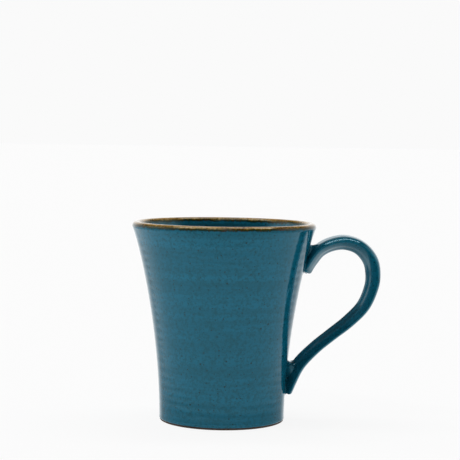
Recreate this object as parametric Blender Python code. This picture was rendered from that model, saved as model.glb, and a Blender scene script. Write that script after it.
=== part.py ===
"""A stoneware mug: a thrown body, a pulled strap handle luted to it with slip, and their glaze coats.

The vessel is turned about its own axis and the handle lies in the plane through that axis, towards +X.
Every shape is worked out about the axis; an empty then carries them all, so that the middle of the whole
mug's box stands over the origin. Lengths are metres, and heights are measured from the table.
"""

import math

import bmesh
import bpy
from mathutils import Vector

MM = 0.001

# Coats: a glaze of even thickness, parted from the clay by the clearance that separate solids keep.
GLAZE = 0.4 * MM
GAP = 0.3 * MM
CLAY_DEPTH = GLAZE + GAP

# Vessel: its glazed outer wall is one curve of four control points, (radius, height). It rises almost
# straight from the base and flares into the round lip.
HEIGHT = 105 * MM
RIM_RADIUS = 48.55 * MM
LIP_RADIUS = 2.35 * MM
LIP_CENTRE = Vector((RIM_RADIUS - LIP_RADIUS, HEIGHT - LIP_RADIUS))
FLARE = math.radians(21.2)
FLARE_LENGTH = 11.6 * MM
GLAZE_LINE = 1.0 * MM
WALL_TOP = LIP_CENTRE + Vector((math.cos(FLARE), -math.sin(FLARE))) * LIP_RADIUS
WALL_CURVE = [
    Vector((33.1 * MM, GLAZE_LINE)),
    Vector((33.4 * MM, 46 * MM)),
    WALL_TOP - Vector((math.sin(FLARE), math.cos(FLARE))) * FLARE_LENGTH,
    WALL_TOP,
]
BASE_THICKNESS = 5.4 * MM
FLOOR_HEIGHT = 7.5 * MM
FLOOR_FILLET = 9 * MM
RIM_BAND_INSIDE = 0.95  # where the brown band stops on the inner wall, as a share of the wall curve

# Foot: a bare ring of clay round a shallow recess.
FOOT_RADIUS = 32.8 * MM
FOOT_INNER_RADIUS = 27 * MM
FOOT_EDGE = 0.35 * MM
RECESS_HEIGHT = 2.2 * MM
RECESS_SLOPE = 1.5 * MM

# Handle: stations down its middle line, (distance from the axis, height, thickness, width).
HANDLE_STATIONS = [
    (43.8 * MM, 80.1 * MM, 6.2 * MM, 17.0 * MM),
    (46.4 * MM, 85.2 * MM, 7.2 * MM, 17.6 * MM),
    (50.7 * MM, 90.6 * MM, 7.5 * MM, 18.8 * MM),
    (57.1 * MM, 94.0 * MM, 7.8 * MM, 20.0 * MM),
    (64.7 * MM, 95.0 * MM, 8.1 * MM, 20.2 * MM),
    (72.5 * MM, 92.3 * MM, 8.1 * MM, 20.4 * MM),
    (78.1 * MM, 85.8 * MM, 8.2 * MM, 20.6 * MM),
    (79.8 * MM, 77.8 * MM, 7.8 * MM, 20.6 * MM),
    (78.7 * MM, 70.1 * MM, 7.3 * MM, 20.5 * MM),
    (74.6 * MM, 60.8 * MM, 6.9 * MM, 20.4 * MM),
    (66.8 * MM, 52.6 * MM, 6.6 * MM, 20.2 * MM),
    (57.5 * MM, 45.2 * MM, 6.3 * MM, 19.9 * MM),
    (48.9 * MM, 38.1 * MM, 6.4 * MM, 19.6 * MM),
    (41.0 * MM, 29.7 * MM, 6.9 * MM, 19.2 * MM),
    (36.6 * MM, 20.9 * MM, 6.8 * MM, 18.6 * MM),
    (35.0 * MM, 15.6 * MM, 6.0 * MM, 18.2 * MM),
]
UPPER_ROOT = HANDLE_STATIONS[:5]
LOWER_ROOT = HANDLE_STATIONS[-5:]

# Sections: where the widest line lies, as a share of the thickness from the inner side, the exponents of the
# inner and the outer half, where 2 is an ellipse, and how far the section stands in from the middle line.
# The strap is keeled inside and rounded outside.
STRAP_SHAPE = (0.67, 1.15, 2.0, 0.28 * MM)
WEB_SHAPE = (0.5, 2.2, 2.2, 0)
END_ROUND = 1.5 * MM

# Slip beads: collars of clay in the corner between the strap and the wall. A web, with stations like the
# strap's, fills the bottom of the notch above each root.
BEAD_WIDTH = 2.0 * MM
BEAD_HEIGHT = 1.3 * MM
UPPER_WEB = [(46.4 * MM, 89.0 * MM, 6.0 * MM, 15.0 * MM), (46.4 * MM, 92.9 * MM, 6.0 * MM, 15.0 * MM)]
LOWER_WEB = [(35.7 * MM, 24.0 * MM, 5.4 * MM, 16.0 * MM), (35.7 * MM, 29.6 * MM, 5.4 * MM, 16.0 * MM)]

# Facets
TURN_STEPS = 48
WALL_STEPS = 8
LIP_STEPS = 6
RIM_BAND_STEPS = 2
FILLET_STEPS = 4
STRAP_STEPS = 2
SECTION_POINTS = 16
END_STEPS = 2


# ---------------------------------------------------------------- curves in the (radius, height) plane

def wall_point(t):
    """A point of the wall curve and its outward normal, from the glaze line (t = 0) to the lip (t = 1)."""
    a, b, c, d = WALL_CURVE
    s = 1 - t
    point = a * s ** 3 + b * 3 * s * s * t + c * 3 * s * t * t + d * t ** 3
    along = (b - a) * s * s + (c - b) * 2 * s * t + (d - c) * t * t
    return point, Vector((along.y, -along.x)).normalized()


def outer_wall(depth):
    """The outer wall from the glaze line up to the lip, at a depth under the glazed surface."""
    points = []
    for i in range(WALL_STEPS + 1):
        point, normal = wall_point(i / WALL_STEPS)
        points.append(point - normal * depth)
    return points


def lip(depth):
    """The half round of the lip, between the ends of the outer and the inner wall."""
    points = []
    for i in range(1, LIP_STEPS):
        angle = math.pi * i / LIP_STEPS - FLARE
        points.append(LIP_CENTRE + Vector((math.cos(angle), math.sin(angle))) * (LIP_RADIUS - depth))
    return points


def inner_wall_point(t, depth):
    """A point of the inner wall, which thickens from the lip down to the base."""
    point, normal = wall_point(t)
    thickness = 2 * LIP_RADIUS + (BASE_THICKNESS - 2 * LIP_RADIUS) * (1 - t)
    return point - normal * (thickness - depth)


def floor_t():
    """Where on the wall curve the inner wall meets the fillet of the floor, found by halving."""
    low, high = 0.0, 0.5
    for _ in range(30):
        middle = (low + high) / 2
        if inner_wall_point(middle, 0).y < FLOOR_HEIGHT + FLOOR_FILLET:
            low = middle
        else:
            high = middle
    return low


def inner_wall(depth, t_from, t_to, steps):
    return [inner_wall_point(t_from + (t_to - t_from) * i / steps, depth) for i in range(steps + 1)]


def floor_curve(depth):
    """The fillet below the inner wall and the flat floor, ending on the axis."""
    wall_end = inner_wall_point(floor_t(), 0)
    centre = Vector((wall_end.x - FLOOR_FILLET, wall_end.y))
    points = []
    for i in range(1, FILLET_STEPS + 1):
        angle = math.pi / 2 * i / FILLET_STEPS
        points.append(centre + Vector((math.cos(angle), -math.sin(angle))) * (FLOOR_FILLET + depth))
    points.append(Vector((0, FLOOR_HEIGHT - depth)))
    return points


def shortened(points, length):
    """The same points with the last one drawn back along its own segment."""
    last = points[-1] + (points[-2] - points[-1]).normalized() * length
    return points[:-1] + [last]


# ---------------------------------------------------------------- solids

def new_object(name, bm, parent):
    bmesh.ops.recalc_face_normals(bm, faces=bm.faces)
    mesh = bpy.data.meshes.new(name)
    bm.to_mesh(mesh)
    bm.free()
    mesh.shade_smooth()
    mesh.set_sharp_from_angle(angle=math.radians(40))
    obj = bpy.data.objects.new(name, mesh)
    bpy.context.scene.collection.objects.link(obj)
    obj.parent = parent
    return obj


def turned(name, outline, parent):
    """A solid of revolution. The outline closes on itself, or starts and ends on the axis."""
    bm = bmesh.new()
    verts = [bm.verts.new((p.x, 0, p.y)) for p in outline]
    edges = [bm.edges.new(pair) for pair in zip(verts, verts[1:])]
    if outline[0].x > 0:
        edges.append(bm.edges.new((verts[-1], verts[0])))
    bmesh.ops.spin(bm, geom=verts + edges, cent=(0, 0, 0), axis=(0, 0, 1),
                   angle=2 * math.pi, steps=TURN_STEPS, use_merge=True)
    bmesh.ops.remove_doubles(bm, verts=bm.verts, dist=0.001 * MM)
    return new_object(name, bm, parent)


def coat(name, surface, underside, parent):
    """A turned skin between two runs of points that lie side by side."""
    return turned(name, surface + underside[::-1], parent)


def core(name, depth, parent):
    """A full turned plug inside the outer wall's surface, or outside it when the depth is negative."""
    wall = outer_wall(depth)
    outline = [Vector((0, 0)), Vector((wall[0].x, 0))] + wall + [Vector((0, wall[-1].y))]
    return turned(name, outline, parent)


def smooth_station(stations, index, u):
    """Catmull-Rom between a station and the next one."""
    last = len(stations) - 1
    picks = [stations[min(max(index + k, 0), last)] for k in (-1, 0, 1, 2)]
    result = []
    for a, b, c, d in zip(*picks):
        result.append(b + 0.5 * u * (c - a + u * (2 * a - 5 * b + 4 * c - d + u * (3 * (b - c) + d - a))))
    return result


def strap_frames(stations):
    """Centre, unit tangent, thickness and width at every ring of a strap."""
    rows = []
    for index in range(len(stations) - 1):
        rows += [smooth_station(stations, index, k / STRAP_STEPS) for k in range(STRAP_STEPS)]
    rows.append(list(stations[-1]))
    centres = [Vector((row[0], 0, row[1])) for row in rows]
    frames = []
    for i, row in enumerate(rows):
        tangent = centres[min(i + 1, len(rows) - 1)] - centres[max(i - 1, 0)]
        frames.append((centres[i], tangent.normalized(), row[2], row[3]))
    return frames


def section(centre, tangent, thickness, width, inset, shape):
    """One section, square to the strap's middle line and smaller all round by the inset."""
    crest, inner_exponent, outer_exponent, shift = shape
    normal = Vector((tangent.z, 0, -tangent.x))
    full = thickness - 2 * inset
    widest = full * (0.5 - crest) + shift
    ring = []
    for k in range(SECTION_POINTS):
        angle = 2 * math.pi * k / SECTION_POINTS
        c, s = math.cos(angle), math.sin(angle)
        power = 2 / (inner_exponent if c > 0 else outer_exponent)
        reach = full * (crest if c > 0 else 1 - crest)
        across = widest + math.copysign(abs(c) ** power, c) * reach
        aside = math.copysign(abs(s) ** power, s) * (width / 2 - inset)
        ring.append(centre + normal * across + Vector((0, aside, 0)))
    return ring


def end_rings(frame, direction, depth, shape):
    """The rings that round off one end of a strap, from its last section outwards."""
    centre, tangent, thickness, width = frame
    radius = END_ROUND - depth
    rings = []
    for k in range(1, END_STEPS + 1):
        angle = math.pi / 2 * k / END_STEPS
        beyond = centre + tangent * direction * radius * math.sin(angle)
        inset = depth + radius * (1 - math.cos(angle))
        rings.append(section(beyond, tangent, thickness, width, inset, shape))
    return rings


def strap_rings(stations, depth, shape=STRAP_SHAPE):
    """All rings of a strap whose surface lies at a depth under the glazed one, ends rounded."""
    frames = strap_frames(stations)
    middle = [section(*frame, depth, shape) for frame in frames]
    return end_rings(frames[0], -1, depth, shape)[::-1] + middle + end_rings(frames[-1], 1, depth, shape)


def strap(name, stations, depth, parent, shape=STRAP_SHAPE):
    bm = bmesh.new()
    rings = [[bm.verts.new(co) for co in ring] for ring in strap_rings(stations, depth, shape)]
    for near, far in zip(rings, rings[1:]):
        for k in range(SECTION_POINTS):
            after = (k + 1) % SECTION_POINTS
            bm.faces.new((near[k], near[after], far[after], far[k]))
    bm.faces.new(rings[0])
    bm.faces.new(rings[-1])
    return new_object(name, bm, parent)


def guide(obj):
    obj.hide_render = True
    obj.display_type = 'WIRE'
    return obj


def cut(obj, cutter, operation='DIFFERENCE'):
    modifier = obj.modifiers.new(f"{operation.lower()}_{cutter.name}", 'BOOLEAN')
    modifier.operation = operation
    modifier.object = cutter
    modifier.solver = 'EXACT'


def paint(obj, name, colour, roughness):
    material = bpy.data.materials.new(name)
    material.use_nodes = True
    shader = material.node_tree.nodes["Principled BSDF"]
    shader.inputs["Base Color"].default_value = (*colour, 1)
    shader.inputs["Roughness"].default_value = roughness
    shader.inputs["Metallic"].default_value = 0
    obj.data.materials.append(material)


# ---------------------------------------------------------------- the pieces

def make_body(parent):
    """The clay of the vessel, under its coats, with the bare foot ring that it stands on."""
    wall = outer_wall(CLAY_DEPTH)
    foot = [
        Vector((0, RECESS_HEIGHT)),
        Vector((FOOT_INNER_RADIUS - RECESS_SLOPE, RECESS_HEIGHT)),
        Vector((FOOT_INNER_RADIUS - FOOT_EDGE, FOOT_EDGE)),
        Vector((FOOT_INNER_RADIUS, 0)),
        Vector((FOOT_RADIUS - FOOT_EDGE, 0)),
        Vector((FOOT_RADIUS, FOOT_EDGE)),
        Vector((FOOT_RADIUS, GLAZE_LINE - GAP)),
        Vector((wall[0].x, GLAZE_LINE - GAP)),
    ]
    inside = inner_wall(CLAY_DEPTH, 1, floor_t(), WALL_STEPS) + floor_curve(CLAY_DEPTH)
    body = turned("body", foot + wall + lip(CLAY_DEPTH) + inside, parent)
    paint(body, "bare_clay", (0.045, 0.028, 0.020), 0.85)


def make_outer_glaze(parent, windows):
    coat_points = [shortened(outer_wall(depth), GAP) for depth in (0, GLAZE)]
    outer_glaze = coat("outer_glaze", *coat_points, parent)
    for window in windows:
        cut(outer_glaze, window)
    paint(outer_glaze, "petrol_glaze", (0.022, 0.105, 0.150), 0.16)


def make_rim_glaze(parent):
    runs = []
    for depth in (0, GLAZE):
        inside = inner_wall(depth, 1, RIM_BAND_INSIDE, RIM_BAND_STEPS)
        runs.append(outer_wall(depth)[-1:] + lip(depth) + inside)
    rim_glaze = coat("rim_glaze", *runs, parent)
    paint(rim_glaze, "brown_rim_glaze", (0.175, 0.090, 0.035), 0.28)


def make_liner_glaze(parent):
    runs = []
    for depth in (0, GLAZE):
        upwards = inner_wall(depth, floor_t(), RIM_BAND_INSIDE, WALL_STEPS)
        runs.append(shortened(upwards, GAP)[::-1] + floor_curve(depth))
    liner_glaze = coat("liner_glaze", *runs, parent)
    paint(liner_glaze, "liner_glaze", (0.012, 0.062, 0.085), 0.14)


def make_handle(parent, clay_wall):
    handle = strap("handle", HANDLE_STATIONS, CLAY_DEPTH, parent)
    cut(handle, clay_wall)
    paint(handle, "handle_clay", (0.060, 0.036, 0.026), 0.8)


def make_handle_glaze(parent, strap_hole, bead_tops, web_windows):
    handle_glaze = strap("handle_glaze", HANDLE_STATIONS, 0, parent)
    cut(handle_glaze, bead_tops)
    for window in web_windows:
        cut(handle_glaze, window)
    cut(handle_glaze, strap_hole)
    paint(handle_glaze, "handle_petrol_glaze", (0.018, 0.090, 0.130), 0.14)


def make_slip_bead(name, stations, web, parent, bead_surface, clay_wall, strap_hole):
    bead = strap(name, stations, CLAY_DEPTH - BEAD_WIDTH, parent)
    cut(bead, bead_surface, 'INTERSECT')
    cut(bead, web, 'UNION')
    cut(bead, clay_wall)
    cut(bead, strap_hole)
    paint(bead, f"{name}_glazed_slip", (0.012, 0.060, 0.085), 0.2)


def main():
    for obj in list(bpy.data.objects):
        bpy.data.objects.remove(obj, do_unlink=True)

    reach = max(co.x for ring in strap_rings(HANDLE_STATIONS, 0) for co in ring)
    axis = bpy.data.objects.new("vessel_axis", None)
    axis.location = ((RIM_RADIUS - reach) / 2, 0, 0)
    bpy.context.scene.collection.objects.link(axis)

    clay_wall = guide(core("guide_clay_wall", CLAY_DEPTH - GAP, axis))
    bead_surface = guide(core("guide_bead_surface", -BEAD_HEIGHT, axis))
    bead_tops = guide(core("guide_bead_tops", -BEAD_HEIGHT - GAP, axis))
    strap_hole = guide(strap("guide_strap_hole", HANDLE_STATIONS, CLAY_DEPTH - GAP, axis))
    window_depth = CLAY_DEPTH - BEAD_WIDTH - GAP
    windows = [
        guide(strap("guide_upper_window", UPPER_ROOT, window_depth, axis)),
        guide(strap("guide_lower_window", LOWER_ROOT, window_depth, axis)),
    ]

    upper_web = guide(strap("guide_upper_web", UPPER_WEB, 0, axis, WEB_SHAPE))
    lower_web = guide(strap("guide_lower_web", LOWER_WEB, 0, axis, WEB_SHAPE))
    web_windows = [
        guide(strap("guide_upper_web_window", UPPER_WEB, -GAP, axis, WEB_SHAPE)),
        guide(strap("guide_lower_web_window", LOWER_WEB, -GAP, axis, WEB_SHAPE)),
    ]

    make_body(axis)
    make_outer_glaze(axis, windows + web_windows)
    make_rim_glaze(axis)
    make_liner_glaze(axis)
    make_handle(axis, clay_wall)
    make_handle_glaze(axis, strap_hole, bead_tops, web_windows)
    make_slip_bead("upper_slip_bead", UPPER_ROOT, upper_web, axis, bead_surface, clay_wall, strap_hole)
    make_slip_bead("lower_slip_bead", LOWER_ROOT, lower_web, axis, bead_surface, clay_wall, strap_hole)


main()
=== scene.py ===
"""A stoneware mug: petrol glaze over a turned wall, a brown rim, a bare foot ring and a pulled strap handle.

Every shape is worked out about the vessel's axis and then placed on the axis of the CAD model. Lengths are
metres. The handle lies in the plane through the axis, towards +X.
"""

import math

import bpy
import numpy as np
from mathutils import Matrix, Vector


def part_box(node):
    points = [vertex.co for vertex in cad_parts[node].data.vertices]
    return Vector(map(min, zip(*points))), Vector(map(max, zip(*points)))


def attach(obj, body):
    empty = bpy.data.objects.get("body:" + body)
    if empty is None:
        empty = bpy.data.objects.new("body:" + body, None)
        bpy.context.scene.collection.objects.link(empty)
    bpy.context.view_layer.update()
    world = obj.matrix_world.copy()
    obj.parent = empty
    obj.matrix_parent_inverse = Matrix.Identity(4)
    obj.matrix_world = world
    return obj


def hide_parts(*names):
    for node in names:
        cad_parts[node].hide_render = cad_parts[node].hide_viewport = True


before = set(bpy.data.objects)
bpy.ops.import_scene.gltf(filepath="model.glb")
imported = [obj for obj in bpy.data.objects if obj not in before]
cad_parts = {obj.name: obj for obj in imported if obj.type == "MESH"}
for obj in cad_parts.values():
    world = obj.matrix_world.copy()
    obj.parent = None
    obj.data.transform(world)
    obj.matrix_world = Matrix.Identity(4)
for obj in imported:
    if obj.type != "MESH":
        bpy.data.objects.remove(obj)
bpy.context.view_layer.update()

MM = 0.001
BODY_LOW, BODY_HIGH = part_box("body")
AXIS_X = (BODY_LOW.x + BODY_HIGH.x) / 2

# Vessel: the outer wall is one curve of four control points, (radius, height).
HEIGHT = 104.96 * MM
RIM_RADIUS = 48.5 * MM
LIP_RADIUS = 2.35 * MM
LIP_CENTRE = np.array((RIM_RADIUS - LIP_RADIUS, HEIGHT - LIP_RADIUS))
FLARE = math.radians(21.2)
FLARE_LENGTH = 11.6 * MM
GLAZE_LINE = 1.0 * MM
WALL_TOP = LIP_CENTRE + np.array((math.cos(FLARE), -math.sin(FLARE))) * LIP_RADIUS
WALL_CURVE = [
    np.array((33.1 * MM, GLAZE_LINE)),
    np.array((33.4 * MM, 46 * MM)),
    WALL_TOP - np.array((math.sin(FLARE), math.cos(FLARE))) * FLARE_LENGTH,
    WALL_TOP,
]
BASE_THICKNESS = 5.4 * MM
FLOOR_HEIGHT = 7.5 * MM
FLOOR_FILLET = 9 * MM

# Coats of glaze. The clay reaches a little way into their backs, so no gap shows between them.
COAT = 0.6 * MM
CLAY_DEPTH = COAT - 0.1 * MM
RIM_BAND_INSIDE = 0.95      # where the rim's band ends on the inner wall, as a share of the wall's curve
ROLL_RADIUS = 0.45 * MM     # the rounded roll in which the outer coat stops above the foot
ROLL_OFFSET = np.array((-0.33 * MM, 0.55 * MM))

# Foot: a bare ring of clay round a shallow recess, which is crowned and turned in a fine spiral.
RECESS_HEIGHT = 2.2 * MM
RECESS_RADIUS = 24 * MM
RECESS_CROWN = 0.5 * MM
SWIRL_HEIGHT = 0.05 * MM
SWIRL_PITCH = 2.6 * MM
# The ring's section from the recess outwards, (radius, height) in millimetres.
FOOT_RING = [
    (25.3, 2.1), (26.1, 1.3), (26.6, 0.55), (26.85, 0.2), (27.2, 0.03), (27.6, 0), (30, 0),
    (32, 0), (32.4, 0.04), (32.65, 0.18), (32.78, 0.4), (32.8, 0.7), (32.8, 1.2),
]

# Throwing rings: a spiral that the potter's fingers leave on the wall, inside and out.
RING_PITCH = 4.1 * MM
RING_DEPTH = 0.026 * MM
WANDER_PERIOD = 5.3 * RING_PITCH

# Handle: stations down its middle line, (distance from the axis, height, thickness, width) in millimetres.
HANDLE_STATIONS = [
    (43.8, 80.1, 6.2, 17.0), (46.4, 85.2, 7.2, 17.6), (50.7, 90.6, 7.5, 18.8), (57.1, 94, 7.8, 20),
    (64.7, 95, 8.1, 20.2), (72.5, 92.3, 8.1, 20.4), (78.1, 85.8, 8.2, 20.6), (79.75, 77.8, 7.8, 20.6),
    (78.7, 70.1, 7.3, 20.5), (74.6, 60.8, 6.9, 20.4), (66.8, 52.6, 6.6, 20.2), (57.5, 45.2, 6.3, 19.9),
    (48.9, 38.1, 6.4, 19.6), (41, 29.7, 6.9, 19.2), (36.6, 20.9, 6.8, 18.6), (35, 15.6, 6, 18.2),
]
# The strap is keeled inside and rounded outside: where its widest line lies, as a share of the thickness
# from the inner side, the exponents of the two halves of its section, where 2 is an ellipse, and how far
# the section stands in from the stations' line.
CREST = 0.67
INNER_SQUARENESS = 1.15
OUTER_SQUARENESS = 2.0
SECTION_SHIFT = 0.28 * MM
# Both ends are rounded over. Their corners are arcs that stop a little short of a full quarter turn.
END_ROUND = 1.5 * MM
CORNER_RADIUS = 5 * MM
CORNER_CUT = 0.6 * MM
# Two shallow grooves run down the strap: how deep, how far aside and how wide, the last two as shares of
# half its width, and the share of the strap's length over which they fade in at each end.
GROOVE_DEPTH = 0.16 * MM
GROOVE_ASIDE = 0.34
GROOVE_WIDTH = 0.13
GROOVE_FADE = 1 / 8

# Fillets of glazed slip in the corner between the strap and the wall: how far each runs out from the
# strap, how much higher it climbs in the notch above a root, and how it bends there.
FILLET_REACH = 1.9 * MM
NOTCH_RISE = 1.5 * MM
FILLET_BEND = 0.82
FILLET_SWELL = 0.2 * MM
# A fillet's edge lies just proud of the wall. Its hidden sides are sunk into the wall and the strap.
FILLET_EDGE_LIFT = 0.02 * MM
SUNK_IN_WALL = 0.4 * MM
SUNK_UNDER_EDGE = 0.3 * MM
SUNK_IN_STRAP = 0.5 * MM
SUNK_RISE = 0.8

# How finely each surface is cut. What a coat hides is cut more coarsely.
TURN_STEPS = 176
WALL_STEPS = 110
LIP_STEPS = 28
BAND_STEPS = 6
LINER_STEPS = 84
CORNER_STEPS = 14
FLOOR_STEPS = 14
ROLL_STEPS = 9
CLAY_WALL_STEPS = 24
RECESS_STEPS = 24
HIDDEN_WALL_STEPS = 12
HIDDEN_LIP_STEPS = 8
HIDDEN_BAND_STEPS = 2
HIDDEN_CORNER_STEPS = 6
HIDDEN_FLOOR_STEPS = 3
STRAP_STEPS = 8
FINE_STRAP_STEPS = 24
SECTION_POINTS = 72
END_STEPS = 8
FILLET_TURNS = 144
FILLET_STEPS = 10
WALL_TABLE_STEPS = 400

# Points nearer the axis than this lie on it. A search by halving takes this many steps.
ON_AXIS = 1e-7
HALVINGS = 30


# ---------------------------------------------------------------- curves in the (radius, height) plane

def wall_point(t):
    """A point of the wall curve and its outward normal, from the glaze line (t = 0) to the lip (t = 1)."""
    a, b, c, d = WALL_CURVE
    s = 1 - t
    point = a * s ** 3 + b * 3 * s * s * t + c * 3 * s * t * t + d * t ** 3
    along = (b - a) * s * s + (c - b) * 2 * s * t + (d - c) * t * t
    normal = np.array((along[1], -along[0]))
    return point, normal / np.linalg.norm(normal)


def outer_wall(depth, steps):
    rows = [wall_point(i / steps) for i in range(steps + 1)]
    return [point - normal * depth for point, normal in rows]


def lip(depth, steps):
    angles = [math.pi * i / steps - FLARE for i in range(1, steps)]
    return [LIP_CENTRE + np.array((math.cos(a), math.sin(a))) * (LIP_RADIUS - depth) for a in angles]


def inner_wall_point(t, depth):
    """A point of the inner wall, which is as thick as the lip at the top and thicker towards the base."""
    point, normal = wall_point(t)
    thickness = 2 * LIP_RADIUS + (BASE_THICKNESS - 2 * LIP_RADIUS) * (1 - t)
    return point - normal * (thickness - depth)


def floor_t():
    """Where on the wall curve the inner wall meets the fillet of the floor, found by halving."""
    low, high = 0.0, 0.5
    for _ in range(HALVINGS):
        middle = (low + high) / 2
        if inner_wall_point(middle, 0)[1] < FLOOR_HEIGHT + FLOOR_FILLET:
            low = middle
        else:
            high = middle
    return low


def inner_wall(depth, t_from, t_to, steps):
    return [inner_wall_point(t_from + (t_to - t_from) * i / steps, depth) for i in range(steps + 1)]


def floor_curve(depth, fillet_steps, floor_steps):
    """The rounded corner of the floor, and then the floor in to the axis."""
    wall_end = inner_wall_point(floor_t(), 0)
    centre = np.array((wall_end[0] - FLOOR_FILLET, wall_end[1]))
    points = []
    for i in range(1, fillet_steps + 1):
        angle = math.pi / 2 * i / fillet_steps
        points.append(centre + np.array((math.cos(angle), -math.sin(angle))) * (FLOOR_FILLET + depth))
    start = points[-1][0]
    for i in range(1, floor_steps + 1):
        points.append(np.array((start * (1 - i / floor_steps), FLOOR_HEIGHT - depth)))
    return points


# ---------------------------------------------------------------- meshes

def new_piece(name, verts, faces, sharp_angle=40):
    """A smooth mesh object, which stays sharp where faces meet at more than sharp_angle degrees."""
    mesh = bpy.data.meshes.new(name)
    mesh.from_pydata([tuple(v) for v in verts], [], faces)
    mesh.validate()
    mesh.shade_smooth()
    mesh.set_sharp_from_angle(angle=math.radians(sharp_angle))
    obj = bpy.data.objects.new(name, mesh)
    bpy.context.scene.collection.objects.link(obj)
    return obj


def ring_wave(height, angle):
    """Height of the throwing rings at a point of the wall, from -1 to 1. Its pitch wanders a little."""
    turns = height / RING_PITCH + angle / (2 * math.pi)
    wander = 0.9 * np.sin(2 * math.pi * height / WANDER_PERIOD + 1.3)
    coarse = np.sin(2 * math.pi * turns + wander)
    fine = np.sin(4 * math.pi * turns + 2 * wander + 0.7)
    return 0.75 * coarse + 0.25 * fine


def turned(name, outline, ringed=None, sharp_angle=40):
    """A closed surface of revolution about the vessel's axis.

    ringed gives, for every outline point, how strongly the throwing rings lift it along its own normal.
    """
    outline = np.array(outline)
    count = len(outline)
    on_axis = outline[0][0] < ON_AXIS
    before = np.roll(outline, 1, axis=0)
    after = np.roll(outline, -1, axis=0)
    if on_axis:
        before[0], after[-1] = outline[0], outline[-1]
    along = after - before
    normals = np.stack((along[:, 1], -along[:, 0]), 1)
    normals /= np.maximum(np.linalg.norm(normals, axis=1), 1e-12)[:, None]
    weights = np.zeros(count) if ringed is None else np.array(ringed)
    angles = 2 * math.pi * np.arange(TURN_STEPS) / TURN_STEPS
    verts = []
    index = np.zeros((count, TURN_STEPS), int)
    for i, (point, normal, weight) in enumerate(zip(outline, normals, weights)):
        if point[0] < ON_AXIS:
            index[i] = len(verts)
            verts.append((AXIS_X, 0, point[1]))
            continue
        lift = weight * RING_DEPTH * ring_wave(point[1], angles)
        radius = point[0] + normal[0] * lift
        height = point[1] + normal[1] * lift
        index[i] = len(verts) + np.arange(TURN_STEPS)
        verts += list(zip(AXIS_X + radius * np.cos(angles), radius * np.sin(angles), height))
    faces = []
    last = count - 1 if on_axis else count
    for i in range(last):
        near, far = index[i], index[(i + 1) % count]
        for k in range(TURN_STEPS):
            m = (k + 1) % TURN_STEPS
            corners = [near[k], near[m], far[m], far[k]]
            face = list(dict.fromkeys(int(c) for c in corners))
            if len(face) > 2:
                faces.append(face)
    return new_piece(name, verts, faces, sharp_angle)


def eased(share):
    return share * share * (3 - 2 * share)


def ring_weights(points, low, high, margin):
    """How strongly the throwing rings mark each point: fully between two heights, fading out at both."""
    heights = np.array([p[1] for p in points])
    rise = np.clip((heights - low) / margin, 0, 1)
    fall = np.clip((high - heights) / margin, 0, 1)
    return list(eased(rise) * eased(fall))


def make_body():
    """The clay under the coats, with its bare foot ring and the shallow recess inside it."""
    recess = [np.array((0, RECESS_HEIGHT + RECESS_CROWN))]
    for i in range(1, RECESS_STEPS + 1):
        radius = RECESS_RADIUS * i / RECESS_STEPS
        crown = RECESS_CROWN * (1 - (radius / RECESS_RADIUS) ** 2)
        swirl = SWIRL_HEIGHT * math.sin(2 * math.pi * radius / SWIRL_PITCH)
        recess.append(np.array((radius, RECESS_HEIGHT + crown + swirl)))
    foot = [np.array(p) * MM for p in FOOT_RING]
    wall = [p for p in outer_wall(CLAY_DEPTH, CLAY_WALL_STEPS) if p[1] > foot[-1][1] + 0.1 * MM]
    inside = inner_wall(CLAY_DEPTH, 1, floor_t(), CLAY_WALL_STEPS)
    inside += floor_curve(CLAY_DEPTH, HIDDEN_CORNER_STEPS, HIDDEN_FLOOR_STEPS)
    outline = recess + foot + wall + lip(CLAY_DEPTH, HIDDEN_LIP_STEPS) + inside
    return turned("stoneware_body", outline, sharp_angle=50)


def make_outer_glaze():
    """The outer coat, with the rounded roll in which it stops above the bare foot."""
    roll_centre = wall_point(0)[0] + ROLL_OFFSET
    roll = []
    for i in range(ROLL_STEPS):
        angle = math.pi / 2 * (i / ROLL_STEPS - 1)
        roll.append(roll_centre + np.array((math.cos(angle), math.sin(angle))) * ROLL_RADIUS)
    wall = [p for p in outer_wall(0, WALL_STEPS) if p[1] > GLAZE_LINE + 2 * ROLL_RADIUS]
    surface = roll + wall
    weights = ring_weights(surface, low=3 * MM, high=HEIGHT - 4 * MM, margin=6 * MM)
    under = [p for p in outer_wall(COAT, HIDDEN_WALL_STEPS)[::-1] if p[1] > GLAZE_LINE + 0.5 * MM]
    return turned("outer_glaze_coat", surface + under, weights + [0] * len(under))


def make_rim_glaze():
    """The band of brown glaze over the lip."""
    surface = outer_wall(0, 1)[-1:] + lip(0, LIP_STEPS) + inner_wall(0, 1, RIM_BAND_INSIDE, BAND_STEPS)
    under = inner_wall(COAT, RIM_BAND_INSIDE, 1, HIDDEN_BAND_STEPS)
    under += lip(COAT, HIDDEN_LIP_STEPS)[::-1] + outer_wall(COAT, 1)[-1:]
    return turned("rim_glaze_band", surface + under)


def make_liner_glaze():
    """The coat inside: wall, rounded corner and floor, with the same throwing rings on its wall."""
    wall = inner_wall(0, RIM_BAND_INSIDE, floor_t(), LINER_STEPS)
    floor = floor_curve(0, CORNER_STEPS, FLOOR_STEPS)
    surface = wall + floor
    weights = ring_weights(wall, low=FLOOR_HEIGHT + 6 * MM, high=HEIGHT - 6 * MM, margin=8 * MM)
    weights += [0] * len(floor)
    under = floor_curve(COAT, HIDDEN_CORNER_STEPS, HIDDEN_FLOOR_STEPS)[::-1]
    under += inner_wall(COAT, floor_t(), RIM_BAND_INSIDE, HIDDEN_WALL_STEPS)
    outline = surface[::-1] + under[::-1]
    return turned("liner_glaze_coat", outline, weights[::-1] + [0] * len(under))


# ---------------------------------------------------------------- the strap

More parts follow.
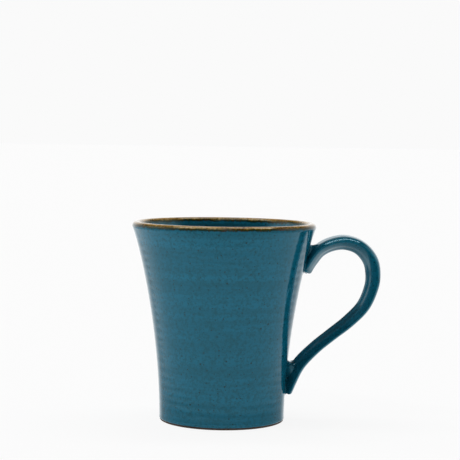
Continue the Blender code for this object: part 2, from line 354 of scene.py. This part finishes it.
def smooth_station(index, u):
    """Catmull-Rom between a station and the next one, in metres."""
    last = len(HANDLE_STATIONS) - 1
    picks = [np.array(HANDLE_STATIONS[min(max(index + k, 0), last)]) * MM for k in (-1, 0, 1, 2)]
    a, b, c, d = picks
    return b + 0.5 * u * (c - a + u * (2 * a - 5 * b + 4 * c - d + u * (3 * (b - c) + d - a)))


def strap_frames(steps):
    """Rows of centre (x, z), unit tangent, thickness and width down the strap."""
    rows = []
    for index in range(len(HANDLE_STATIONS) - 1):
        rows += [smooth_station(index, k / steps) for k in range(steps)]
    rows.append(smooth_station(len(HANDLE_STATIONS) - 2, 1.0))
    rows = np.array(rows)
    tangents = np.gradient(rows[:, :2], axis=0)
    tangents /= np.linalg.norm(tangents, axis=1)[:, None]
    steps_along = np.linalg.norm(np.diff(rows[:, :2], axis=0), axis=1)
    from_start = np.concatenate(([0], np.cumsum(steps_along)))
    from_end = np.minimum(from_start, from_start[-1] - from_start)
    short = np.clip(CORNER_RADIUS - from_end - CORNER_CUT, 0, CORNER_RADIUS)
    rounding = CORNER_RADIUS - np.sqrt(CORNER_RADIUS ** 2 - short ** 2)
    return rows[:, :2], tangents, rows[:, 2], rows[:, 3] - 2 * rounding


def power(value, exponent):
    return np.sign(value) * np.abs(value) ** exponent


def section_ring(centre, tangent, thickness, width, inset, groove):
    """One rounded section of the strap, with two shallow grooves inside and two fainter ones outside."""
    angles = 2 * math.pi * np.arange(SECTION_POINTS) / SECTION_POINTS
    c, s = np.cos(angles), np.sin(angles)
    exponent = np.where(c > 0, 2 / INNER_SQUARENESS, 2 / OUTER_SQUARENESS)
    full = thickness - 2 * inset
    across = full * (0.5 - CREST) + power(c, exponent) * full * np.where(c > 0, CREST, 1 - CREST)
    aside = power(s, exponent) * (width / 2 - inset)
    grooves = np.zeros(SECTION_POINTS)
    for place in (GROOVE_ASIDE, -GROOVE_ASIDE):
        grooves += np.exp(-((aside / width * 2 - place) / GROOVE_WIDTH) ** 2)
    across = across + SECTION_SHIFT - groove * grooves * np.clip(c * 3, -0.6, 1)
    x = centre[0] + tangent[1] * across
    z = centre[1] - tangent[0] * across
    return np.stack((x, aside, z), 1)


def make_strap(name, depth):
    """The strap's surface at a depth under its glaze, with shallow grooves down it and rounded ends."""
    centres, tangents, thicknesses, widths = strap_frames(STRAP_STEPS)
    count = len(centres)
    round_off = END_ROUND - depth

    def end_ring(i, k, way):
        """One ring of a rounded end, k steps of a quarter turn beyond row i."""
        angle = math.pi / 2 * k / END_STEPS
        centre = centres[i] + way * tangents[i] * round_off * math.sin(angle)
        inset = depth + round_off * (1 - math.cos(angle))
        return section_ring(centre, tangents[i], thicknesses[i], widths[i], inset, 0)

    rings = [end_ring(0, k, -1) for k in range(END_STEPS, 0, -1)]
    for i in range(count):
        share = min(i, count - 1 - i) / count
        groove = GROOVE_DEPTH * min(1, share / GROOVE_FADE)
        rings.append(section_ring(centres[i], tangents[i], thicknesses[i], widths[i], depth, groove))
    rings += [end_ring(-1, k, 1) for k in range(1, END_STEPS + 1)]
    verts = np.concatenate(rings)
    verts[:, 0] += AXIS_X
    faces = []
    for i in range(len(rings) - 1):
        a, b = i * SECTION_POINTS, (i + 1) * SECTION_POINTS
        for k in range(SECTION_POINTS):
            m = (k + 1) % SECTION_POINTS
            faces.append((a + k, b + k, b + m, a + m))
    faces.append(tuple(range(SECTION_POINTS)))
    faces.append(tuple(range((len(rings) - 1) * SECTION_POINTS, len(rings) * SECTION_POINTS))[::-1])
    return new_piece(name, verts, faces)


# ---------------------------------------------------------------- fillets at the roots

FINE_STRAP = strap_frames(FINE_STRAP_STEPS)
THINNEST_SECTION = 0.2 * MM


def strap_level(point):
    """How far a point lies outside the strap's surface, in metres; negative inside it."""
    centres, tangents, thicknesses, widths = FINE_STRAP
    flat = point[[0, 2]]
    i = int(np.argmin(((centres - flat) ** 2).sum(1)))
    offset = flat - centres[i]
    beyond = offset @ tangents[i]
    across = offset @ np.array((tangents[i][1], -tangents[i][0]))
    inset = 0.0
    if (i == 0 and beyond < 0) or (i == len(centres) - 1 and beyond > 0):
        share = min(abs(beyond) / END_ROUND, 1.0)
        inset = END_ROUND * (1 - math.sqrt(1 - share * share)) + max(abs(beyond) - END_ROUND, 0)
    full = thicknesses[i] - 2 * inset
    half_width = widths[i] / 2 - inset
    if full <= THINNEST_SECTION:
        return abs(beyond)
    from_crest = across - SECTION_SHIFT - full * (0.5 - CREST)
    reach, exponent = (CREST, INNER_SQUARENESS) if from_crest > 0 else (1 - CREST, OUTER_SQUARENESS)
    level = abs(from_crest / (full * reach)) ** exponent + abs(point[1] / half_width) ** exponent
    return (level ** (1 / exponent) - 1) * full / 2


WALL_TABLE = [wall_point(i / WALL_TABLE_STEPS) for i in range(WALL_TABLE_STEPS + 1)]
WALL_HEIGHTS = np.array([point[1] for point, normal in WALL_TABLE])
WALL_RADII = np.array([point[0] for point, normal in WALL_TABLE])
WALL_SLOPES = np.array([math.atan2(normal[1], normal[0]) for point, normal in WALL_TABLE])


def on_wall(arc, height, lift):
    """A point over the wall beside the handle: arc along the girth from the handle's plane, and height."""
    radius = np.interp(height, WALL_HEIGHTS, WALL_RADII)
    slope = np.interp(height, WALL_HEIGHTS, WALL_SLOPES)
    angle = arc / radius
    out = radius + lift * math.cos(slope)
    return np.array((out * math.cos(angle), out * math.sin(angle), height + lift * math.sin(slope)))


def near_root(middle, direction, distance, lift):
    """A point over the wall, a distance away from the middle of a root in an (arc, height) direction."""
    return on_wall(direction[0] * distance, middle + direction[1] * distance, lift)


def reach_of_strap(middle, direction, lift):
    """How far from the middle of the root, along the wall, the strap's surface lies."""
    low, high = 0.0, 14 * MM
    for _ in range(HALVINGS):
        half = (low + high) / 2
        if strap_level(near_root(middle, direction, half, lift)) < 0:
            low = half
        else:
            high = half
    return low


def fillet_row(middle, lean, notch_reach, angle):
    """The fillet's section at one angle round the root, from the wall up to the strap and back inside."""
    direction = (math.cos(angle), math.sin(angle))
    notch = eased(min(max((direction[1] - 0.25) / 0.6, 0), 1))
    wobble = 1 + 0.10 * math.sin(3 * angle + 1.1) + 0.06 * math.sin(7 * angle)
    along = (FILLET_REACH + notch_reach * notch) * wobble
    rise = (FILLET_REACH + NOTCH_RISE * notch) * wobble
    top = middle + lean
    corner = reach_of_strap(middle, direction, 0)
    raised = reach_of_strap(top, direction, rise)
    start = near_root(middle, direction, corner + along, FILLET_EDGE_LIFT)
    bend = near_root(middle, direction, corner + FILLET_BEND * along * notch, FILLET_SWELL * notch)
    end = near_root(top, direction, raised, rise)
    row = []
    for i in range(FILLET_STEPS + 1):
        u = i / FILLET_STEPS
        row.append(start * (1 - u) ** 2 + bend * 2 * u * (1 - u) + end * u * u)
    row.append(near_root(top, direction, max(raised - SUNK_IN_STRAP, 0), rise * SUNK_RISE))
    row.append(near_root(middle, direction, corner, -SUNK_IN_WALL))
    row.append(near_root(middle, direction, corner + along, -SUNK_UNDER_EDGE))
    return row


def make_fillet(name, middle, lean, notch_reach):
    """A soft fillet of slip right round one root, which fills the bottom of the notch above it.

    lean moves the middle up with the strap as it leaves the wall. notch_reach is how far the fill runs up
    the wall, beyond the plain fillet.
    """
    angles = [2 * math.pi * k / FILLET_TURNS for k in range(FILLET_TURNS)]
    rows = [fillet_row(middle, lean, notch_reach, angle) for angle in angles]
    width = len(rows[0])
    verts = np.array(rows).reshape(-1, 3)
    verts[:, 0] += AXIS_X
    faces = []
    for i in range(FILLET_TURNS):
        j = (i + 1) % FILLET_TURNS
        for k in range(width):
            m = (k + 1) % width
            faces.append((i * width + k, j * width + k, j * width + m, i * width + m))
    return new_piece(name, verts, faces, 60)


# ---------------------------------------------------------------- node trees

class Nodes:
    """Short hands for building one node tree. An input is a plain value, or a socket to link."""

    def __init__(self, tree):
        self.tree = tree

    def add(self, kind, inputs, **settings):
        node = self.tree.nodes.new(kind)
        for key, value in settings.items():
            setattr(node, key, value)
        for key, value in inputs.items():
            if isinstance(value, bpy.types.NodeSocket):
                self.tree.links.new(value, node.inputs[key])
            else:
                node.inputs[key].default_value = value
        return node

    def math(self, operation, a, b=0.0, c=0.0):
        return self.add("ShaderNodeMath", {0: a, 1: b, 2: c}, operation=operation).outputs[0]

    def fit(self, value, low, high, to_low=0.0, to_high=1.0, smooth=False):
        ends = {"From Min": low, "From Max": high, "To Min": to_low, "To Max": to_high}
        kind = 'SMOOTHSTEP' if smooth else 'LINEAR'
        return self.add("ShaderNodeMapRange", {"Value": value, **ends}, interpolation_type=kind).outputs[0]


class Surface(Nodes):
    """One material's node tree, with its shader and the object's own coordinates."""

    def __init__(self, name):
        self.material = bpy.data.materials.new(name)
        self.material.use_nodes = True
        super().__init__(self.material.node_tree)
        self.shader = self.tree.nodes["Principled BSDF"]
        self.position = self.add("ShaderNodeTexCoord", {}).outputs["Object"]
        self.height = self.add("ShaderNodeSeparateXYZ", {0: self.position}).outputs["Z"]

    def scaled(self, x, y, z):
        return self.add("ShaderNodeMapping", {"Vector": self.position, "Scale": (x, y, z)}).outputs[0]

    def noise(self, scale, detail, roughness, vector=None):
        shape = {"Scale": scale, "Detail": detail, "Roughness": roughness}
        return self.add("ShaderNodeTexNoise", {"Vector": vector or self.position, **shape}).outputs["Fac"]

    def mix(self, factor, a, b):
        return self.add("ShaderNodeMix", {0: factor, 6: a, 7: b}, data_type='RGBA').outputs[2]

    def ramp(self, factor, stops):
        node = self.add("ShaderNodeValToRGB", {"Fac": factor})
        elements = node.color_ramp.elements
        while len(elements) < len(stops):
            elements.new(0.5)
        for element, (position, colour) in zip(elements, stops):
            element.position = position
            element.color = (*colour, 1)
        return node.outputs["Color"]

    def finish(self, colour, roughness, height, bump, ior=1.5, tint=(1, 1, 1, 1)):
        """Link the shader's colour, roughness and bump, and set how it mirrors."""
        relief = self.add("ShaderNodeBump", {"Height": height, "Distance": bump, "Strength": 1.0})
        self.tree.links.new(relief.outputs[0], self.shader.inputs["Normal"])
        self.tree.links.new(colour, self.shader.inputs["Base Color"])
        self.tree.links.new(roughness, self.shader.inputs["Roughness"])
        self.shader.inputs["IOR"].default_value = ior
        self.shader.inputs["Specular Tint"].default_value = tint
        return self.material


# ---------------------------------------------------------------- materials

PETROL = (0.0042, 0.110, 0.182, 1)
PETROL_DEEP = (0.0028, 0.068, 0.098, 1)
LINER_PETROL = (0.003, 0.075, 0.115, 1)
HANDLE_PETROL = (0.0028, 0.105, 0.160, 1)
HANDLE_DEEP = (0.0022, 0.078, 0.118, 1)
SLIP_PETROL = (0.0025, 0.080, 0.125, 1)
SPECK = (0.003, 0.024, 0.026, 1)
RUST = (0.050, 0.016, 0.004, 1)
CLAY_DARK = (0.030, 0.018, 0.012)
CLAY_PALE = (0.065, 0.040, 0.028)
CLAY_GRIT = (0.012, 0.008, 0.006, 1)

# The glaze mirrors more blue than red where it is seen square on, as metal-rich glazes do.
GLAZE_TINT = (0.373, 0.765, 0.95, 1)
GLAZE_IOR = 1.94
RIM_TINT = (0.55, 0.72, 0.66, 1)
RIM_IOR = 1.5

# The brown of the rim: the heights over which it takes the petrol's place, the heights that its colours
# run between, and those colours from the bottom up.
BROWN_EDGE = (102.4 * MM, 103.0 * MM)
BROWN_RUN = (102.5 * MM, 105.0 * MM)
BROWNS = [
    (0.0, (0.003, 0.050, 0.068)),
    (0.14, (0.002, 0.030, 0.034)),
    (0.30, (0.005, 0.026, 0.010)),
    (0.45, (0.022, 0.024, 0.002)),
    (0.60, (0.130, 0.075, 0.006)),
    (0.80, (0.360, 0.210, 0.055)),
    (1.0, (0.420, 0.300, 0.160)),
]
# Iron specks: cells per metre, the speck's radius as a share of a cell, and the share of cells left bare.
SPECKS = ((230, 0.18, 0.50), (520, 0.28, 0.57))


def speckled(nodes, colour):
    """Dark iron specks of two sizes, each in some of the cells of its own pattern."""
    for scale, reach, bare_share in SPECKS:
        cells = nodes.add("ShaderNodeTexVoronoi", {"Vector": nodes.position, "Scale": scale})
        speck = nodes.fit(cells.outputs["Distance"], 0.4 * reach, reach, 1, 0, True)
        chosen = nodes.add("ShaderNodeSeparateColor", {0: cells.outputs["Color"]}).outputs[0]
        speck = nodes.math('MULTIPLY', speck, nodes.fit(chosen, bare_share, 0.88, 0, 0.95))
        colour = nodes.mix(speck, colour, SPECK)
    return colour


def browned(nodes, colour):
    """The glaze breaks to brown over the lip, along an edge that wanders and drips."""
    wave = nodes.fit(nodes.noise(130, 3, 0.6), 0.3, 0.7, -0.30 * MM, 0.30 * MM)
    drips = nodes.noise(1.0, 3, 0.6, nodes.scaled(900, 900, 120))
    drip = nodes.fit(drips, 0.35, 0.65, -0.28 * MM, 0.28 * MM)
    level = nodes.math('ADD', nodes.height, nodes.math('ADD', wave, drip))
    brown = nodes.ramp(nodes.fit(level, *BROWN_RUN), BROWNS)
    grains = nodes.noise(1.0, 3, 0.7, nodes.scaled(1300, 1300, 380))
    patches = nodes.noise(60, 2, 0.5)
    rust = nodes.fit(nodes.math('ADD', grains, patches), 1.0, 1.2, 0, 0.8)
    brown = nodes.mix(rust, brown, RUST)
    return nodes.mix(nodes.fit(level, *BROWN_EDGE, 0, 1, True), colour, brown)


def glaze(name, petrol, deep, roughness, banding=1.0, rim=True, ior=GLAZE_IOR, tint=GLAZE_TINT):
    """The petrol glaze: clouds, streaks and pale rings round the vessel, a fine mottle and iron specks."""
    nodes = Surface(name)
    cloud = nodes.fit(nodes.noise(55, 3, 0.6), 0.35, 0.65)
    colour = nodes.mix(nodes.math('MULTIPLY', cloud, 0.22), petrol, deep)
    streaks = nodes.noise(1.0, 3, 0.6, nodes.scaled(14, 14, 520))
    colour = nodes.mix(nodes.fit(streaks, 0.42, 0.62, 0, 0.34 * banding), colour, deep)
    rings = nodes.noise(1.0, 2, 0.5, nodes.scaled(5, 5, 230))
    pale = tuple(min(channel * 1.45, 1) for channel in petrol)
    colour = nodes.mix(nodes.fit(rings, 0.48, 0.68, 0, 0.42 * banding), colour, pale)
    mottle = nodes.noise(620, 4, 0.7)
    colour = nodes.mix(nodes.fit(mottle, 0.46, 0.60, 0, 0.85), colour, deep)
    colour = speckled(nodes, colour)
    if rim:
        colour = browned(nodes, colour)
    pits = nodes.noise(420, 2, 0.5)
    swell = nodes.noise(120, 1, 0.4)
    relief = nodes.math('ADD', nodes.math('MULTIPLY', pits, 0.25), swell)
    gloss = nodes.fit(mottle, 0.3, 0.8, roughness * 0.8, roughness * 1.5)
    return nodes.finish(colour, gloss, relief, 0.06 * MM, ior, tint)


def clay(name):
    """Bare dark stoneware, gritty and clouded."""
    nodes = Surface(name)
    grit = nodes.noise(1400, 4, 0.7)
    colour = nodes.ramp(nodes.noise(300, 3, 0.6), [(0.3, CLAY_DARK), (0.7, CLAY_PALE)])
    colour = nodes.mix(nodes.fit(grit, 0.55, 0.75, 0, 0.6), colour, CLAY_GRIT)
    return nodes.finish(colour, nodes.fit(grit, 0.3, 0.7, 0.75, 0.92), grit, 0.08 * MM)


def wear(obj, material, node):
    """Give a piece its material, hide the CAD node that it stands for, and hang the piece from the root."""
    obj.data.materials.clear()
    obj.data.materials.append(material)
    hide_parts(node)
    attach(obj, "root")


# ---------------------------------------------------------------- the mug

vessel_glaze = glaze("petrol_glaze", PETROL, PETROL_DEEP, 0.07)
liner_glaze = glaze("liner_glaze", LINER_PETROL, PETROL_DEEP, 0.06)
rim_glaze = glaze("rim_glaze", PETROL, PETROL_DEEP, 0.10, ior=RIM_IOR, tint=RIM_TINT)
handle_glaze = glaze("handle_petrol_glaze", HANDLE_PETROL, HANDLE_DEEP, 0.06, banding=0.3, rim=False)
slip_glaze = glaze("glazed_slip", SLIP_PETROL, HANDLE_DEEP, 0.07, banding=0.3, rim=False)
bare_clay = clay("bare_clay")

wear(make_body(), bare_clay, "body")
wear(make_outer_glaze(), vessel_glaze, "outer_glaze")
wear(make_rim_glaze(), rim_glaze, "rim_glaze")
wear(make_liner_glaze(), liner_glaze, "liner_glaze")
wear(make_strap("handle_glaze_coat", 0), handle_glaze, "handle_glaze")
wear(make_strap("handle_clay_core", COAT), bare_clay, "handle")
upper_fillet = make_fillet("upper_root_fillet", middle=86 * MM, lean=2 * MM, notch_reach=3.6 * MM)
lower_fillet = make_fillet("lower_root_fillet", middle=22 * MM, lean=1 * MM, notch_reach=6.4 * MM)
wear(upper_fillet, slip_glaze, "upper_slip_bead")
wear(lower_fillet, slip_glaze, "lower_slip_bead")


# ---------------------------------------------------------------- floor, light and camera

# The camera and the lights stand turned about the vessel's axis, so the handle points a little away.
VIEW_TURN = math.radians(3.3)
CAMERA_DISTANCE = 0.7860
CAMERA_HEIGHT = 0.1484
CAMERA_PITCH = math.radians(3.477)
CAMERA_YAW = math.radians(0.223) + VIEW_TURN
CAMERA_ROLL = math.radians(0.842)
LENS = 116.67
SENSOR = 36

FLOOR_HALF_SIZE = 30.0
FLOOR_GREY = (0.08, 0.08, 0.08, 1)
FLOOR_GLOW = 0.888
WHITE = (1, 1, 1, 1)
BACKGROUND = 0.956

# The room's brightness from behind the mug (0) round to behind the camera (1), and from straight down (0)
# to straight up (1). The second curve counts in full only away from the back of the room.
AROUND = [
    (0, 1.25), (0.058, 1.12), (0.153, 0.78), (0.297, 0.65),
    (0.36, 0.59), (0.5, 0.55), (0.75, 0.51), (1, 0.49),
]
STOREYS = [
    (0, 1.08), (0.34, 1.06), (0.375, 1.0), (0.411, 0.50), (0.436, 0.75), (0.48, 0.95),
    (0.62, 1.0), (0.70, 0.75), (0.76, 0.10), (1, 0.05),
]
# Soft boxes: direction, half width, half height, blur of the edges and strength. Two are overhead and one
# stands on each side.
SOFT_BOXES = [
    ((0.0, 0.20, 0.98), 0.50, 0.07, 0.02, 10.0),
    ((-0.33, -0.42, 0.85), 0.55, 0.035, 0.015, 9.0),
    ((-0.85, 0.10, 0.50), 0.30, 0.22, 0.16, 1.1),
    ((0.85, 0.10, 0.50), 0.30, 0.22, 0.16, 0.8),
]


def make_floor():
    """A plain floor that glows as brightly as the room and takes only a faint shade under the mug."""
    half = FLOOR_HALF_SIZE
    mesh = bpy.data.meshes.new("floor")
    corners = [(-half, -half, 0), (half, -half, 0), (half, half, 0), (-half, half, 0)]
    mesh.from_pydata(corners, [], [(0, 1, 2, 3)])
    floor = bpy.data.objects.new("floor", mesh)
    bpy.context.scene.collection.objects.link(floor)
    material = bpy.data.materials.new("pale_floor")
    material.use_nodes = True
    shader = material.node_tree.nodes["Principled BSDF"]
    shader.inputs["Base Color"].default_value = FLOOR_GREY
    shader.inputs["Roughness"].default_value = 1
    shader.inputs["Specular IOR Level"].default_value = 0
    shader.inputs["Emission Color"].default_value = WHITE
    shader.inputs["Emission Strength"].default_value = FLOOR_GLOW
    mesh.materials.append(material)
    floor.visible_glossy = False


def curve(nodes, value, points):
    """A smooth curve through a few points."""
    node = nodes.add("ShaderNodeFloatCurve", {"Value": value})
    line = node.mapping.curves[0]
    while len(line.points) < len(points):
        line.points.new(0.5, 0.5)
    for point, (x, y) in zip(line.points, points):
        point.location = (x, y)
        point.handle_type = 'AUTO_CLAMPED'
    node.mapping.update()
    return node.outputs[0]


def soft_box(nodes, direction, centre, half_width, half_height, blur, strength):
    """A rectangular soft box seen in one direction, with blurred edges."""
    def along(axis):
        dot = nodes.add("ShaderNodeVectorMath", {0: direction, 1: tuple(axis)}, operation='DOT_PRODUCT')
        return dot.outputs["Value"]

    centre = Vector(centre).normalized()
    side = centre.cross(Vector((0, 0, 1))).normalized()
    glow = nodes.math('MULTIPLY', nodes.math('GREATER_THAN', along(centre), 0.2), strength)
    for axis, half in ((side, half_width), (side.cross(centre), half_height)):
        distance = nodes.math('ABSOLUTE', along(axis))
        glow = nodes.math('MULTIPLY', glow, nodes.fit(distance, half - blur, half + blur, 1.0, 0.0, True))
    return glow


def make_world():
    """A white room, brightest behind the mug and dark overhead, with soft boxes."""
    world = bpy.data.worlds.new("studio")
    bpy.context.scene.world = world
    world.use_nodes = True
    world.node_tree.nodes.clear()
    nodes = Nodes(world.node_tree)

    toward = nodes.add("ShaderNodeTexCoord", {}).outputs["Generated"]
    turn = {"Vector": toward, "Angle": VIEW_TURN}
    direction = nodes.add("ShaderNodeVectorRotate", turn, rotation_type='Z_AXIS').outputs[0]
    parts = nodes.add("ShaderNodeSeparateXYZ", {0: direction})
    to_front = nodes.math('MULTIPLY_ADD', parts.outputs["Y"], -0.5, 0.5)
    raised = nodes.math('MULTIPLY_ADD', parts.outputs["Z"], 0.5, 0.5)

    tilt = nodes.math('MULTIPLY', parts.outputs["X"], -0.03)
    around = nodes.math('ADD', curve(nodes, to_front, AROUND), tilt)
    lack = nodes.math('SUBTRACT', 1.0, curve(nodes, raised, STOREYS))
    lack = nodes.math('MULTIPLY', lack, nodes.fit(to_front, -0.02, 0.14))
    below = nodes.fit(parts.outputs["Z"], -0.85, -0.52, 0.30, 1.0)
    total = nodes.math('MULTIPLY', around, nodes.math('SUBTRACT', 1.0, lack))
    total = nodes.math('MULTIPLY', total, below)
    for box in SOFT_BOXES:
        total = nodes.math('ADD', total, soft_box(nodes, direction, *box))

    # The back of the room lights the glaze's body colour more strongly than its reflections show.
    path = nodes.add("ShaderNodeLightPath", {})
    behind = nodes.fit(to_front, 0.35, 0.60, 1.5, 0.0)
    extra = nodes.math('MULTIPLY', behind, path.outputs["Is Diffuse Ray"])
    total = nodes.math('MULTIPLY', total, nodes.math('ADD', extra, 1.0))
    light = nodes.add("ShaderNodeBackground", {"Color": WHITE, "Strength": total}).outputs[0]
    plain = nodes.add("ShaderNodeBackground", {"Color": WHITE, "Strength": BACKGROUND}).outputs[0]
    mixed = nodes.add("ShaderNodeMixShader", {0: path.outputs["Is Camera Ray"], 1: light, 2: plain})
    nodes.add("ShaderNodeOutputWorld", {"Surface": mixed.outputs[0]})


def make_camera():
    """A little above the rim and close to square on to the handle's plane, through a long lens."""
    flat = math.cos(CAMERA_PITCH)
    forward = Vector((math.sin(CAMERA_YAW) * flat, math.cos(CAMERA_YAW) * flat, -math.sin(CAMERA_PITCH)))
    level = Vector((math.cos(CAMERA_YAW), -math.sin(CAMERA_YAW), 0))
    upright = level.cross(forward)
    right = level * math.cos(CAMERA_ROLL) + upright * math.sin(CAMERA_ROLL)
    up = upright * math.cos(CAMERA_ROLL) - level * math.sin(CAMERA_ROLL)
    data = bpy.data.cameras.new("camera")
    data.lens = LENS
    data.sensor_width = SENSOR
    data.clip_start = 0.01
    camera = bpy.data.objects.new("camera", data)
    x = AXIS_X - CAMERA_DISTANCE * math.sin(VIEW_TURN)
    y = -CAMERA_DISTANCE * math.cos(VIEW_TURN)
    turn = Matrix((right, up, -forward)).transposed()
    camera.matrix_world = Matrix.Translation((x, y, CAMERA_HEIGHT)) @ turn.to_4x4()
    bpy.context.scene.collection.objects.link(camera)
    bpy.context.scene.camera = camera


make_floor()
make_world()
make_camera()
bpy.context.scene.view_settings.view_transform = 'Standard'

bpy.context.view_layer.update()
